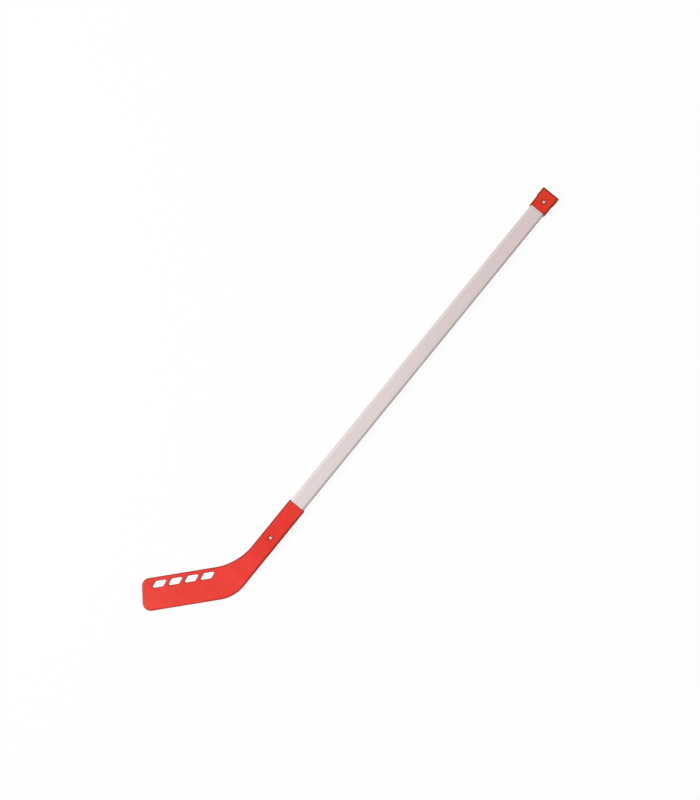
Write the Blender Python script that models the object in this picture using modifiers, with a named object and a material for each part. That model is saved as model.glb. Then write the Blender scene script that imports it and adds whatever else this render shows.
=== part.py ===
"""Roller hockey stick: a moulded blade and a moulded butt cap, riveted to a rectangular tube.

The stick lies flat on its back: the floor is z = 0, and the blade's front face looks up, along +Z.
The shaft runs along +X from the blade to the butt, and the toe points to the +Y side. x = 0 lies
under the hosel's flat back, halfway from the socket's mouth to the blade's rivets. y = 0 is the
shaft's centreline. Lengths are in metres.
"""

import math

import bmesh
import bpy
from mathutils import Matrix, Vector

# Shaft: an extruded tube
SHAFT_WIDTH = 0.0286
SHAFT_THICKNESS = 0.019
SHAFT_CORNER_RADIUS = 0.005
SHAFT_WALL = 0.0024
SHAFT_SHOWING = 0.6651  # from the hosel's mouth to the cap's mouth

# Sockets: the hosel at the lower end, and the butt cap at the upper end
SOCKET_CLEARANCE = 0.0003
SOCKET_FACE_WALL = 0.003  # the same on both, so that their backs lie on one floor
SOCKET_RIM_RADIUS = 0.0006
HOSEL_SIDE_WALL = 0.0019
HOSEL_EDGE_RADIUS = 0.0045
HOSEL_SOCKET_DEPTH = 0.100
CAP_SIDE_WALL = 0.00175
CAP_EDGE_RADIUS = 0.005
CAP_CORNER_RADIUS = 0.0020  # of the upright edges at the butt end
CAP_SOCKET_DEPTH = 0.034
CAP_END_WALL = 0.0041
CAP_FLARE = 0.00105  # how far each side stands out at the butt end
CAP_FLARE_START = 0.0184  # from the cap's mouth
CAP_FLARE_LENGTH = 0.005

# Blade
LIE_DEGREES = 41.6  # between the shaft's centreline and the blade's base line
MOUTH_TO_BASE = 0.2119  # along the shaft's centreline
BLADE_LENGTH = 0.1380  # along the base line, from the shaft's centreline to the toe
BLADE_HEIGHT = 0.0573
BLADE_THICKNESS = 0.0075
BLADE_EDGE_RADIUS = 0.0034
HEEL_RADIUS = 0.067
NECK_RADIUS = 0.105
TOE_LEAN_DEGREES = 7.6
TOE_LOWER_RADIUS = 0.0144
TOE_UPPER_RADIUS = 0.0134

# Vents: slanted slots along the blade's upper edge
VENT_COUNT = 4
VENT_LENGTH = 0.0202
VENT_HEIGHT = 0.0113
VENT_PITCH = 0.0284
VENT_SLANT_DEGREES = 48.5
VENT_CORNER_RADIUS = 0.0022
VENT_TO_TOP_EDGE = 0.0069
VENT_TO_TOE = 0.0367  # along the base line, from the last vent's middle to the toe

# Blind rivets, set: a flanged body and the mandrel that stays in it
RIVET_BODY_DIAMETER = 0.0032
RIVET_HEAD_DIAMETER = 0.0064
RIVET_HEAD_HEIGHT = 0.001
RIVET_HEAD_RIM = 0.0003
RIVET_BULB_DIAMETER = 0.0048
RIVET_BULB_SWELL = 0.0004  # from the shaft's inner face to the bulb's full width
RIVET_BULB_WIDEST = 0.0009  # how long the bulb keeps its full width
RIVET_BULB_LENGTH = 0.0028
RIVET_CLEARANCE = 0.0002
MANDREL_DIAMETER = 0.0018
MANDREL_HEAD_DIAMETER = 0.0031
MANDREL_HEAD_LENGTH = 0.001
MANDREL_TIP_DIAMETER = 0.0019
MANDREL_TIP_LENGTH = 0.0005
MANDREL_BREAK_DEPTH = 0.00025  # below the top of the rivet's head
RECESS_DIAMETER = 0.0108
RECESS_DEPTH = 0.0014
BLADE_RIVET_TO_MOUTH = 0.072
CAP_RIVET_TO_MOUTH = 0.0173

# Fineness of the round stretches
EDGE_STEPS = 4
BEND_STEPS = 24
BLADE_STEPS = 2
TOE_STEPS = 8
RIM_STEPS = 2
VENT_CORNER_STEPS = 4
CORNER_SEGMENTS = 5
TURNED_STEPS = 24
DOME_STEPS = 4
CUT_OVERRUN = 0.004  # how far a cutter runs past the surface that it opens
MERGE_DISTANCE = 0.000001
SMOOTH_DEGREES = 35.0
LARGEST_EDGE_SHARE = 0.48  # of a section's thickness, for the radius along its edges

# Materials: linear colour, roughness and metallic value
BLADE_FINISH = ((0.791, 0.054, 0.041), 0.42, 0.0)
CAP_FINISH = ((0.716, 0.041, 0.021), 0.42, 0.0)
SHAFT_FINISH = ((0.716, 0.617, 0.610), 0.35, 0.0)
RIVET_FINISH = ((0.91, 0.90, 0.88), 0.30, 1.0)
MANDREL_FINISH = ((0.62, 0.61, 0.59), 0.35, 1.0)

# Values worked out from those above
MOUTH_X = BLADE_RIVET_TO_MOUTH / 2
CAP_MOUTH_X = MOUTH_X + SHAFT_SHOWING
SHAFT_START_X = MOUTH_X - HOSEL_SOCKET_DEPTH + SOCKET_CLEARANCE
SHAFT_END_X = CAP_MOUTH_X + CAP_SOCKET_DEPTH - SOCKET_CLEARANCE
CAP_LENGTH = CAP_SOCKET_DEPTH + CAP_END_WALL
BLADE_RIVET_X = MOUTH_X - BLADE_RIVET_TO_MOUTH
CAP_RIVET_X = CAP_MOUTH_X + CAP_RIVET_TO_MOUTH
SOCKET_WIDTH = SHAFT_WIDTH + 2 * SOCKET_CLEARANCE
SOCKET_THICKNESS = SHAFT_THICKNESS + 2 * SOCKET_CLEARANCE
SOCKET_CORNER_RADIUS = SHAFT_CORNER_RADIUS + SOCKET_CLEARANCE
HOSEL_HALF_WIDTH = SOCKET_WIDTH / 2 + HOSEL_SIDE_WALL
STICK_THICKNESS = SOCKET_THICKNESS + 2 * SOCKET_FACE_WALL
MIDDLE_Z = STICK_THICKNESS / 2
RIVET_GRIP = SOCKET_FACE_WALL - RECESS_DEPTH + SOCKET_CLEARANCE + SHAFT_WALL

LIE = math.radians(LIE_DEGREES)
TOE_LEAN = math.radians(TOE_LEAN_DEGREES)
VENT_SLANT = math.radians(VENT_SLANT_DEGREES)
TO_BLADE = math.pi  # heading down the shaft, towards the blade
TO_TOE = TO_BLADE - LIE  # heading along the base line, towards the toe


def direction(heading):
    return Vector((math.cos(heading), math.sin(heading)))


def blade_point(along, height):
    """A point in plan, from its place along the base line and its height over that line."""
    crossing = Vector((MOUTH_X - MOUTH_TO_BASE, 0))
    return crossing + direction(TO_TOE) * along + direction(TO_TOE - math.pi / 2) * height


def clear_scene():
    for obj in list(bpy.data.objects):
        bpy.data.objects.remove(obj, do_unlink=True)


def new_collection(name):
    collection = bpy.data.collections.new(name)
    bpy.context.scene.collection.children.link(collection)
    return collection


def new_material(name, finish):
    colour, roughness, metallic = finish
    material = bpy.data.materials.new(name)
    material.use_nodes = True
    shader = material.node_tree.nodes["Principled BSDF"]
    shader.inputs["Base Color"].default_value = (*colour, 1)
    shader.inputs["Roughness"].default_value = roughness
    shader.inputs["Metallic"].default_value = metallic
    return material


def add_part(name, mesh, material, stick, location=(0, 0, 0)):
    """Links a part into the collection of the empty that carries the whole stick."""
    obj = bpy.data.objects.new(name, mesh)
    obj.location = location
    obj.parent = stick
    if not mesh.materials:
        mesh.materials.append(material)
    stick.users_collection[0].objects.link(obj)
    return obj


def add_cutter(name, mesh, cutters, location=(0, 0, 0)):
    obj = bpy.data.objects.new(name, mesh)
    obj.location = location
    obj.display_type = "WIRE"
    obj.hide_render = True
    cutters.objects.link(obj)
    return obj


def finished_mesh(name, bm):
    """Turns a bmesh into a mesh that is smooth but for its real edges."""
    bmesh.ops.recalc_face_normals(bm, faces=bm.faces)
    mesh = bpy.data.meshes.new(name)
    bm.to_mesh(mesh)
    bm.free()
    mesh.shade_smooth()
    mesh.set_sharp_from_angle(angle=math.radians(SMOOTH_DEGREES))
    return mesh


def cut(target, *tools):
    for tool in tools:
        boolean = target.modifiers.new(tool.name, "BOOLEAN")
        boolean.operation = "DIFFERENCE"
        boolean.solver = "EXACT"
        boolean.object = tool


def box_bmesh(length, width, thickness):
    bm = bmesh.new()
    size = Matrix.Diagonal((length, width, thickness, 1))
    bmesh.ops.create_cube(bm, size=1, matrix=size)
    return bm


def runs_lengthwise(edge):
    return abs(edge.verts[0].co.x - edge.verts[1].co.x) > MERGE_DISTANCE


def socket_cutter(name, mouth_x, depth, inward, cutters):
    """A rounded rectangular plug that opens a socket from its mouth. inward is +1 or -1 along X."""
    bm = box_bmesh(depth + CUT_OVERRUN, SOCKET_WIDTH, SOCKET_THICKNESS)
    bmesh.ops.bevel(
        bm,
        geom=[edge for edge in bm.edges if runs_lengthwise(edge)],
        offset=SOCKET_CORNER_RADIUS,
        segments=CORNER_SEGMENTS,
        profile=0.5,
        affect="EDGES",
    )
    middle_x = mouth_x + inward * (depth - CUT_OVERRUN) / 2
    return add_cutter(name, finished_mesh(name, bm), cutters, (middle_x, 0, MIDDLE_Z))


def cylinder_cutter(name, diameter, low_z, high_z, x, cutters):
    bm = bmesh.new()
    bmesh.ops.create_cone(
        bm,
        cap_ends=True,
        segments=TURNED_STEPS,
        radius1=diameter / 2,
        radius2=diameter / 2,
        depth=high_z - low_z,
    )
    middle = (x, 0, (low_z + high_z) / 2)
    return add_cutter(name, finished_mesh(name, bm), cutters, middle)


def rivet_hole(name, x, cutters):
    """A hole for the shanks of two rivets, right through the stick."""
    diameter = RIVET_BODY_DIAMETER + 2 * RIVET_CLEARANCE
    return cylinder_cutter(name, diameter, -CUT_OVERRUN, STICK_THICKNESS + CUT_OVERRUN, x, cutters)


def rivet_recesses(name, x, cutters):
    """The shallow recesses for two rivets' heads, one in the front and one in the back."""
    floor = STICK_THICKNESS - RECESS_DEPTH
    top = STICK_THICKNESS + CUT_OVERRUN
    front = cylinder_cutter(f"{name}_front", RECESS_DIAMETER, floor, top, x, cutters)
    back = cylinder_cutter(f"{name}_back", RECESS_DIAMETER, -CUT_OVERRUN, RECESS_DEPTH, x, cutters)
    return front, back


def walk(point, heading, legs, distance):
    """Follows an outline and gives the point and the heading at a distance along it.

    Each leg is its length and its turn in radians: no turn is straight, any other is an arc.
    """
    for length, turn in legs:
        step = min(distance, length)
        turned = turn * step / length
        if turn:
            centre = point + direction(heading + math.pi / 2) * (length / turn)
            point = centre - direction(heading + turned + math.pi / 2) * (length / turn)
        else:
            point = point + direction(heading) * step
        heading += turned
        distance -= step
        if distance <= 0:
            break
    return point, heading


def blade_outline():
    """The legs of the blade's two sides, from the hosel's mouth to the toe, and their zones.

    The lower side runs round the heel and along the base line. The upper side runs round the neck
    and along the top edge. A zone has its length on the lower and on the upper side, its number of
    steps, and how far it has thinned from the hosel to the blade at its start and at its end.
    """
    corner = math.tan(LIE / 2)
    lower_toe_turn = math.pi / 2 + TOE_LEAN
    upper_toe_turn = math.pi / 2 - TOE_LEAN

    heel_along = -HOSEL_HALF_WIDTH / math.sin(LIE)
    to_heel = MOUTH_X - blade_point(heel_along, 0).x - HEEL_RADIUS * corner
    heel = HEEL_RADIUS * LIE
    base_start = heel_along + HEEL_RADIUS * corner
    base = BLADE_LENGTH - TOE_LOWER_RADIUS * math.tan(lower_toe_turn / 2) - base_start
    lower_toe = TOE_LOWER_RADIUS * lower_toe_turn

    neck_along = (HOSEL_HALF_WIDTH - BLADE_HEIGHT * math.cos(LIE)) / math.sin(LIE)
    to_neck = MOUTH_X - blade_point(neck_along, BLADE_HEIGHT).x - NECK_RADIUS * corner
    neck = NECK_RADIUS * LIE
    top_start = neck_along + NECK_RADIUS * corner
    top_corner = BLADE_LENGTH - BLADE_HEIGHT * math.tan(TOE_LEAN)
    top = top_corner - TOE_UPPER_RADIUS * math.tan(upper_toe_turn / 2) - top_start
    upper_toe = TOE_UPPER_RADIUS * upper_toe_turn

    lower = [(to_heel, 0), (heel, -LIE), (base, 0), (lower_toe, -lower_toe_turn)]
    upper = [(to_neck, 0), (neck, -LIE), (top, 0), (upper_toe, upper_toe_turn)]
    zones = [
        (to_neck, to_neck, 1, 0, 0),
        (to_heel - to_neck + heel, neck, BEND_STEPS, 0, 1),
        (base, top, BLADE_STEPS, 1, 1),
        (lower_toe, upper_toe, TOE_STEPS, 1, 1),
    ]
    return lower, upper, zones


def edge_points(point, outward, thickness, radius):
    """Points over one long edge of a section, from its front face round to its back face."""
    front = []
    for step in range(EDGE_STEPS + 1):
        angle = math.pi / 2 * (1 - step / EDGE_STEPS)
        place = point - outward * radius * (1 - math.cos(angle))
        front.append((place, thickness / 2 - radius + radius * math.sin(angle)))
    back = [(place, -height) for place, height in reversed(front)]
    return [Vector((place.x, place.y, MIDDLE_Z + height)) for place, height in front + back]


def blade_sections():
    """Closed loops of points round the blade, from the hosel's mouth to the toe."""
    lower_legs, upper_legs, zones = blade_outline()
    blade_radius = min(BLADE_EDGE_RADIUS, LARGEST_EDGE_SHARE * BLADE_THICKNESS)
    sections = []

    def add(lower_distance, upper_distance, thinned, inset=0):
        start = Vector((MOUTH_X, -HOSEL_HALF_WIDTH))
        lower, heading = walk(start, TO_BLADE, lower_legs, lower_distance)
        lower_out = direction(heading + math.pi / 2)
        start = Vector((MOUTH_X, HOSEL_HALF_WIDTH))
        upper, heading = walk(start, TO_BLADE, upper_legs, upper_distance)
        upper_out = direction(heading - math.pi / 2)
        thickness = STICK_THICKNESS + (BLADE_THICKNESS - STICK_THICKNESS) * thinned - 2 * inset
        radius = HOSEL_EDGE_RADIUS + (blade_radius - HOSEL_EDGE_RADIUS) * thinned - inset
        near = edge_points(lower - lower_out * inset, lower_out, thickness, radius)
        far = edge_points(upper - upper_out * inset, upper_out, thickness, radius)
        sections.append(near + far[::-1])

    for step in range(RIM_STEPS + 1):
        angle = math.pi / 2 * step / RIM_STEPS
        distance = SOCKET_RIM_RADIUS * (1 - math.cos(angle))
        add(distance, distance, 0, SOCKET_RIM_RADIUS * (1 - math.sin(angle)))

    lower_done = 0
    upper_done = 0
    for lower_length, upper_length, steps, first, last in zones:
        for step in range(1, steps + 1):
            share = step / steps
            eased = share * share * (3 - 2 * share)
            lower_distance = lower_done + lower_length * share
            upper_distance = upper_done + upper_length * share
            add(lower_distance, upper_distance, first + (last - first) * eased)
        lower_done += lower_length
        upper_done += upper_length
    return sections


def make_blade(material, hole, cutters, stick):
    """The blade: a loft from the hosel to the toe, then its socket, rivet holes and vents."""
    bm = bmesh.new()
    loops = [[bm.verts.new(point) for point in section] for section in blade_sections()]
    count = len(loops[0])
    for loop, following in zip(loops, loops[1:]):
        for i in range(count):
            j = (i + 1) % count
            bm.faces.new((loop[i], loop[j], following[j], following[i]))
    bm.faces.new(loops[0])
    toe = loops[-1]
    for i in range(count // 2 - 1):
        bm.faces.new((toe[i], toe[i + 1], toe[count - 2 - i], toe[count - 1 - i]))
    blade = add_part("blade", finished_mesh("blade", bm), material, stick)

    cut(blade, socket_cutter("hosel_socket", MOUTH_X, HOSEL_SOCKET_DEPTH, -1, cutters))
    cut(blade, hole, *rivet_recesses("blade_recess", BLADE_RIVET_X, cutters))
    for i in range(VENT_COUNT):
        along = BLADE_LENGTH - VENT_TO_TOE - i * VENT_PITCH
        cut(blade, vent_cutter(f"vent_{i + 1}", along, cutters))


def rounded_polygon(corners, radius, steps):
    """The outline of a convex polygon, with an arc of the given radius at each corner."""
    outline = []
    for i, corner in enumerate(corners):
        back = (corners[i - 1] - corner).normalized()
        ahead = (corners[(i + 1) % len(corners)] - corner).normalized()
        half = back.angle(ahead) / 2
        centre = corner + (back + ahead).normalized() * (radius / math.sin(half))
        first = corner + back * (radius / math.tan(half)) - centre
        start = math.atan2(first.y, first.x)
        turn = math.copysign(math.pi - 2 * half, ahead.cross(back))
        for step in range(steps + 1):
            outline.append(centre + direction(start + turn * step / steps) * radius)
    return outline


def vent_cutter(name, along, cutters):
    """A slanted slot with rounded corners, cut right through the blade."""
    half_length = VENT_LENGTH / 2
    shift = VENT_HEIGHT / 2 / math.tan(VENT_SLANT)
    low = BLADE_HEIGHT - VENT_TO_TOP_EDGE - VENT_HEIGHT
    high = BLADE_HEIGHT - VENT_TO_TOP_EDGE
    corners = [
        blade_point(along + shift - half_length, low),
        blade_point(along + shift + half_length, low),
        blade_point(along - shift + half_length, high),
        blade_point(along - shift - half_length, high),
    ]
    depth = BLADE_THICKNESS + 2 * CUT_OVERRUN
    bm = bmesh.new()
    outline = rounded_polygon(corners, VENT_CORNER_RADIUS, VENT_CORNER_STEPS)
    floor = bm.faces.new([bm.verts.new((p.x, p.y, MIDDLE_Z - depth / 2)) for p in outline])
    extruded = bmesh.ops.extrude_face_region(bm, geom=[floor], use_keep_orig=True)
    lifted = [item for item in extruded["geom"] if isinstance(item, bmesh.types.BMVert)]
    bmesh.ops.translate(bm, verts=lifted, vec=(0, 0, depth))
    return add_cutter(name, finished_mesh(name, bm), cutters)


def make_shaft(material, holes, stick):
    """An open rectangular tube: four walls, rounded along their corners and given a thickness."""
    bm = box_bmesh(SHAFT_END_X - SHAFT_START_X, SHAFT_WIDTH, SHAFT_THICKNESS)
    ends = [face for face in bm.faces if not any(runs_lengthwise(edge) for edge in face.edges)]
    bmesh.ops.delete(bm, geom=ends, context="FACES_ONLY")
    middle = ((SHAFT_START_X + SHAFT_END_X) / 2, 0, MIDDLE_Z)
    shaft = add_part("shaft", finished_mesh("shaft", bm), material, stick, middle)

    corners = shaft.modifiers.new("rounded corners", "BEVEL")
    corners.width = SHAFT_CORNER_RADIUS
    corners.segments = CORNER_SEGMENTS
    wall = shaft.modifiers.new("wall", "SOLIDIFY")
    wall.thickness = SHAFT_WALL
    wall.offset = -1
    wall.use_even_offset = True
    cut(shaft, *holes)


def make_cap(material, hole, cutters, stick):
    """The butt cap: a box that flares towards the butt, with a blind pocket for the shaft."""
    bm = box_bmesh(CAP_LENGTH, SOCKET_WIDTH + 2 * CAP_SIDE_WALL, STICK_THICKNESS)
    mouth = -CAP_LENGTH / 2
    flare_start = mouth + CAP_FLARE_START
    for x in (flare_start, flare_start + CAP_FLARE_LENGTH):
        everything = bm.verts[:] + bm.edges[:] + bm.faces[:]
        bmesh.ops.bisect_plane(bm, geom=everything, plane_co=(x, 0, 0), plane_no=(1, 0, 0))
    for vert in bm.verts:
        if vert.co.x > flare_start + CAP_FLARE_LENGTH / 2:
            vert.co.y += math.copysign(CAP_FLARE, vert.co.y)

    weight = bm.edges.layers.float.new("bevel_weight_edge")
    for edge in bm.edges:
        start, end = (vert.co for vert in edge.verts)
        at_butt = not runs_lengthwise(edge) and start.x > CAP_LENGTH / 2 - MERGE_DISTANCE
        if at_butt and abs(start.z - end.z) > MERGE_DISTANCE:
            edge[weight] = CAP_CORNER_RADIUS / CAP_EDGE_RADIUS
        elif at_butt or runs_lengthwise(edge):
            edge[weight] = 1
        elif start.x < mouth + MERGE_DISTANCE:
            edge[weight] = SOCKET_RIM_RADIUS / CAP_EDGE_RADIUS
    middle = (CAP_MOUTH_X + CAP_LENGTH / 2, 0, MIDDLE_Z)
    cap = add_part("butt_cap", finished_mesh("butt_cap", bm), material, stick, middle)

    edges = cap.modifiers.new("rounded edges", "BEVEL")
    edges.width = CAP_EDGE_RADIUS
    edges.segments = EDGE_STEPS
    edges.limit_method = "WEIGHT"
    cut(cap, socket_cutter("cap_socket", CAP_MOUTH_X, CAP_SOCKET_DEPTH, 1, cutters))
    cut(cap, hole, *rivet_recesses("cap_recess", CAP_RIVET_X, cutters))


def turned_mesh(name, profile, closed, collection):
    """Turns a profile of (radius, height) points round Z, running down its outer side."""
    mesh = bpy.data.meshes.new(f"{name}_profile")
    points = [(radius, 0, height) for radius, height in profile]
    edges = [(i, i + 1) for i in range(len(points) - 1)]
    if closed:
        edges.append((len(points) - 1, 0))
    mesh.from_pydata(points, edges, [])
    lathe = bpy.data.objects.new(f"{name}_lathe", mesh)
    collection.objects.link(lathe)
    screw = lathe.modifiers.new("turned", "SCREW")
    screw.steps = TURNED_STEPS
    screw.render_steps = TURNED_STEPS
    screw.use_merge_vertices = True
    screw.merge_threshold = MERGE_DISTANCE
    graph = bpy.context.evaluated_depsgraph_get()
    turned = bpy.data.meshes.new_from_object(lathe.evaluated_get(graph))
    turned.name = name
    bpy.data.objects.remove(lathe, do_unlink=True)
    turned.shade_smooth()
    turned.set_sharp_from_angle(angle=math.radians(SMOOTH_DEGREES))
    return turned


def rivet_body_profile():
    """A domed head on the recess's floor, which is height 0, a plain shank, and the set bulb."""
    head = RIVET_HEAD_DIAMETER / 2
    shank = RIVET_BODY_DIAMETER / 2
    bulb = RIVET_BULB_DIAMETER / 2
    bore = MANDREL_DIAMETER / 2 + RIVET_CLEARANCE
    seat = RIVET_CLEARANCE
    dome = []
    for step in range(DOME_STEPS + 1):
        share = step / DOME_STEPS
        drop = (RIVET_HEAD_HEIGHT - RIVET_HEAD_RIM) * share * share
        dome.append((bore + (head - bore) * share, seat + RIVET_HEAD_HEIGHT - drop))
    blind = -RIVET_GRIP - RIVET_CLEARANCE
    end = blind - RIVET_BULB_LENGTH
    return dome + [
        (head, seat),
        (shank, seat),
        (shank, blind),
        (bulb, blind - RIVET_BULB_SWELL),
        (bulb, blind - RIVET_BULB_SWELL - RIVET_BULB_WIDEST),
        (shank, end),
        (bore, end),
    ]


def mandrel_profile():
    """The stem that fills the body's bore, broken off in the head, and its own head below."""
    stem = MANDREL_DIAMETER / 2
    head = MANDREL_HEAD_DIAMETER / 2
    top = RIVET_CLEARANCE + RIVET_HEAD_HEIGHT - MANDREL_BREAK_DEPTH
    shoulder = -RIVET_GRIP - RIVET_BULB_LENGTH - 2 * RIVET_CLEARANCE
    end = shoulder - MANDREL_HEAD_LENGTH
    return [
        (0, top),
        (stem, top),
        (stem, shoulder),
        (head, shoulder),
        (head, end + MANDREL_TIP_LENGTH),
        (MANDREL_TIP_DIAMETER / 2, end),
        (0, end),
    ]


def make_rivets(aluminium, steel, stick):
    """A rivet on the front and one on the back, through the blade's hosel and through the cap."""
    collection = stick.users_collection[0]
    body = turned_mesh("rivet", rivet_body_profile(), True, collection)
    mandrel = turned_mesh("mandrel", mandrel_profile(), False, collection)
    sides = (("front", STICK_THICKNESS - RECESS_DEPTH, 0), ("back", RECESS_DEPTH, math.pi))
    for place, x in (("blade", BLADE_RIVET_X), ("cap", CAP_RIVET_X)):
        for side, z, turn in sides:
            for kind, mesh, metal in (("rivet", body, aluminium), ("mandrel", mandrel, steel)):
                piece = add_part(f"{place}_{kind}_{side}", mesh, metal, stick, (x, 0, z))
                piece.rotation_euler = (turn, 0, 0)


def main():
    clear_scene()
    parts = new_collection("roller_hockey_stick")
    cutters = new_collection("cutters")
    stick = bpy.data.objects.new("stick", None)
    parts.objects.link(stick)
    blade_hole = rivet_hole("blade_rivet_hole", BLADE_RIVET_X, cutters)
    cap_hole = rivet_hole("cap_rivet_hole", CAP_RIVET_X, cutters)

    make_blade(new_material("red polyethylene", BLADE_FINISH), blade_hole, cutters, stick)
    make_cap(new_material("red polyethylene cap", CAP_FINISH), cap_hole, cutters, stick)
    make_shaft(new_material("white ABS", SHAFT_FINISH), (blade_hole, cap_hole), stick)
    aluminium = new_material("aluminium", RIVET_FINISH)
    steel = new_material("zinc plated steel", MANDREL_FINISH)
    make_rivets(aluminium, steel, stick)
    bpy.context.view_layer.update()


main()
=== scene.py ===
"""Looks of a roller hockey stick: a red moulded blade and butt cap on a white extruded shaft.

The stick lies on its back on the floor, z = 0. The shaft runs along +X to the butt, the toe points
to the +Y side, and the camera looks straight down on the blade's front face. Lengths are in metres.
"""

import math

import bmesh
import bpy
from mathutils import Matrix, Vector


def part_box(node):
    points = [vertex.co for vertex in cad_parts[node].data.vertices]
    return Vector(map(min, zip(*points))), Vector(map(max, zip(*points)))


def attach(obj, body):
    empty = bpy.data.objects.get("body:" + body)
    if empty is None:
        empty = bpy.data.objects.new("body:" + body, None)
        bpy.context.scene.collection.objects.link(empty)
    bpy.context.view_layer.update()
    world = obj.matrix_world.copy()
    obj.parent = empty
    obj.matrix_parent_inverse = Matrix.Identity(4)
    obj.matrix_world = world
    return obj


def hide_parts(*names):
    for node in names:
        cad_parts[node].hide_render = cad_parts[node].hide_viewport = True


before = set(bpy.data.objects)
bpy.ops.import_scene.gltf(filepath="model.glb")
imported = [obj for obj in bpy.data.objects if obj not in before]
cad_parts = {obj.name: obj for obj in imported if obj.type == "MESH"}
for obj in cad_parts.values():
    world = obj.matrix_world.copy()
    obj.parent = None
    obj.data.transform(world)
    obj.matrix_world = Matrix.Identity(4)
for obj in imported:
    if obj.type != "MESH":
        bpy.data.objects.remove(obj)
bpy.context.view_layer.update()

MM = 0.001

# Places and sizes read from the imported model
BLADE_LOW, BLADE_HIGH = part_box("blade")
SHAFT_LOW, SHAFT_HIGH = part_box("shaft")
CAP_LOW, CAP_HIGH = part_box("butt_cap")
MOUTH_X = BLADE_HIGH.x
HOSEL_HALF_WIDTH = -BLADE_LOW.y
STICK_THICKNESS = BLADE_HIGH.z - BLADE_LOW.z
MIDDLE_Z = (BLADE_HIGH.z + BLADE_LOW.z) / 2
SHAFT_WIDTH = SHAFT_HIGH.y - SHAFT_LOW.y
SHAFT_THICKNESS = SHAFT_HIGH.z - SHAFT_LOW.z
BLADE_RIVET_X = sum(corner.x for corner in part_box("blade_rivet_front")) / 2
CAP_RIVET_X = sum(corner.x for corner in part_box("cap_rivet_front")) / 2

# Shaft and sockets
SHAFT_CORNER_RADIUS = 5 * MM
SHAFT_WALL = 2.4 * MM
SOCKET_CLEARANCE = 0.3 * MM
HOSEL_SOCKET_DEPTH = 100 * MM
CAP_SOCKET_DEPTH = 34 * MM
HOSEL_EDGE_RADIUS = 4.5 * MM
HOSEL_RIM_RADIUS = 1.1 * MM
CAP_EDGE_RADIUS = 5 * MM
CAP_CORNER_RADIUS = 2 * MM  # of the upright edges at the butt end
CAP_RIM_RADIUS = 0.7 * MM
SOCKET_RIM_RADIUS = 0.5 * MM
CAP_FLARE = 1.05 * MM
CAP_FLARE_START = 18.4 * MM
CAP_FLARE_LENGTH = 5 * MM

# Blade
LIE = math.radians(41.6)
MOUTH_TO_BASE = 211.9 * MM  # along the shaft's centreline
BLADE_LENGTH = 138 * MM
BLADE_HEIGHT = 57.3 * MM
BLADE_THICKNESS = 7.5 * MM
BLADE_EDGE_RADIUS = 3.4 * MM
HEEL_RADIUS = 67 * MM
NECK_RADIUS = 105 * MM
TOE_LEAN = math.radians(7.6)
TOE_LOWER_RADIUS = 14.4 * MM
TOE_UPPER_RADIUS = 13.4 * MM
PARTING_HALF_WIDTH = 0.35 * MM  # the fine ridge where the two halves of the mould met
PARTING_HEIGHT = 0.12 * MM
PARTING_START = 3 * MM  # from the hosel's mouth

# Vents
VENT_COUNT = 4
VENT_LENGTH = 20.2 * MM
VENT_HEIGHT = 11.3 * MM
VENT_PITCH = 28.4 * MM
VENT_SLANT = math.radians(48.5)
VENT_CORNER_RADIUS = 2.2 * MM
VENT_RIM_RADIUS = 2.6 * MM
VENT_TO_TOP_EDGE = 6.9 * MM  # from a vent's upper side
VENT_TO_TOE = 36.7 * MM  # from the first vent's middle, along the base line

# Blind rivets. Heights are from the floor of the recess
RIVET_PLACES = ("blade", "cap")
RIVET_SIDES = ("front", "back")
RIVET_BODY_RADIUS = 1.6 * MM
RIVET_HEAD_RADIUS = 3.2 * MM
RIVET_HEAD_HEIGHT = 1 * MM
RIVET_HEAD_RIM = 0.3 * MM
RIVET_HEAD_LIP = 0.12 * MM  # the raised ring that the setting tool leaves round the mandrel
LIP_PLACE = 0.12  # as a share of the way from the bore to the head's rim
LIP_SPREAD = 0.12
RIVET_BULB_RADIUS = 2.4 * MM
RIVET_BULB_SWELL = 0.4 * MM
RIVET_BULB_WIDEST = 0.9 * MM
RIVET_BULB_LENGTH = 2.8 * MM
RIVET_CLEARANCE = 0.2 * MM
MANDREL_RADIUS = 0.9 * MM
MANDREL_HEAD_RADIUS = 1.55 * MM
MANDREL_HEAD_LENGTH = 1 * MM
MANDREL_TIP_RADIUS = 0.95 * MM
MANDREL_TIP_LENGTH = 0.5 * MM
MANDREL_BREAK_DEPTH = 0.25 * MM
MANDREL_BREAK_ROUGHNESS = 0.12 * MM
MANDREL_BREAK_GRAIN = 0.5 * MM
RECESS_RADIUS = 5.4 * MM
RECESS_DEPTH = 1.4 * MM
RECESS_RIM_RADIUS = 0.6 * MM
RECESS_FLOOR_RADIUS = 0.3 * MM
SOCKET_FACE_WALL = (STICK_THICKNESS - SHAFT_THICKNESS) / 2 - SOCKET_CLEARANCE
RIVET_GRIP = SOCKET_FACE_WALL - RECESS_DEPTH + SOCKET_CLEARANCE + SHAFT_WALL
MANDREL_TOP = RIVET_CLEARANCE + RIVET_HEAD_HEIGHT - MANDREL_BREAK_DEPTH

# Fineness of the round stretches
EDGE_STEPS = 8
BEND_STEPS = 72
BLADE_STEPS = 4
TOE_STEPS = 20
RIM_STEPS = 6
CORNER_STEPS = 10
FLARE_STEPS = 12
TURNED_STEPS = 64
DOME_STEPS = 20
BREAK_STEPS = 8
CUT_OVERRUN = 4 * MM
TOLERANCE = 0.001 * MM  # places closer than this are one
RIM_TURN = math.radians(82)  # a rim's arc stops just short of the face that it runs into
SMOOTH_ANGLE = math.radians(32)

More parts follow.
